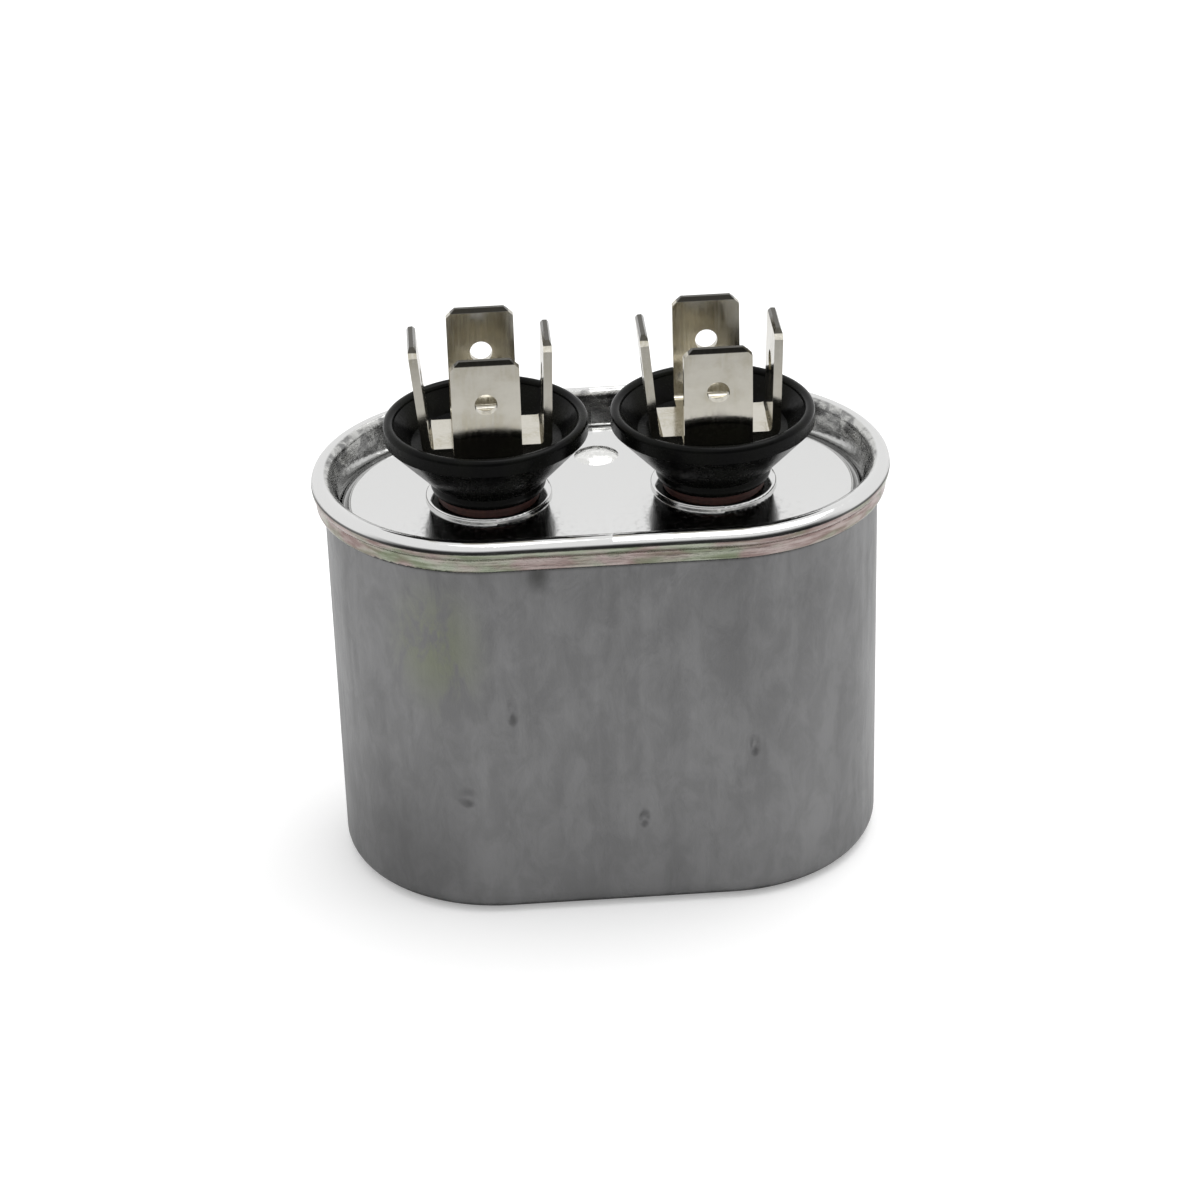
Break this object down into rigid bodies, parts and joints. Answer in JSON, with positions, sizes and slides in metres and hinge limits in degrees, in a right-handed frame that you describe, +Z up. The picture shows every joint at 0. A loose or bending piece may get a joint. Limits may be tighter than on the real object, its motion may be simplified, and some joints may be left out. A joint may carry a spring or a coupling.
{
  "type": "motor run capacitor",
  "caption": "Oval drawn-can motor run capacitor with a seamed tinplate lid, black insulating cups and riveted quick-connect blade terminals.",
  "frame": {"origin": "centre of the flat base, on the surface it stands on", "axes": "+X along the oval's long side to the right-hand terminal, +Y to the back where the fill hole is, +Z up"},
  "size_m": [0.0548, 0.0332, 0.0541],
  "materials": {
    "can": "drawn aluminium with upright draw marks, satin",
    "lid": "bright tinplate, nearly a mirror",
    "seam_compound": "flowed-in sealing compound, hidden",
    "fill_seal": "bright solder",
    "cup": "black moulded phenolic, glossy",
    "terminal": "tin-plated brass, bright",
    "rivet": "tin-plated brass",
    "gasket": "dark red-brown rubber",
    "bushing": "natural moulded insulator",
    "lug": "plain brass",
    "winding": "metallised film, wound",
    "winding_core": "plastic mandrel",
    "winding_wrap": "clear film and paper wrap",
    "end_spray": "sprayed zinc, matt",
    "insulator": "pressboard",
    "lead": "tinned copper wire and its solder joints",
    "sleeve": "insulating sleeve"
  },
  "bodies": {
    "root": {"can": "can", "lid": "lid", "seam_compound": "seam_compound", "fill_seal": "fill_seal", "left_cup": "cup", "right_cup": "cup", "left_terminal": "terminal", "right_terminal": "terminal", "left_rivet": "rivet", "right_rivet": "rivet", "left_gasket": "gasket", "right_gasket": "gasket", "left_bushing": "bushing", "right_bushing": "bushing", "left_lug": "lug", "right_lug": "lug", "winding": "winding", "winding_core": "winding_core", "winding_wrap": "winding_wrap", "top_end_spray": "end_spray", "bottom_end_spray": "end_spray", "top_insulator": "insulator", "bottom_insulator": "insulator", "left_lead": "lead", "right_lead": "lead", "lead_sleeve": "sleeve"}
  },
  "joints": []
}
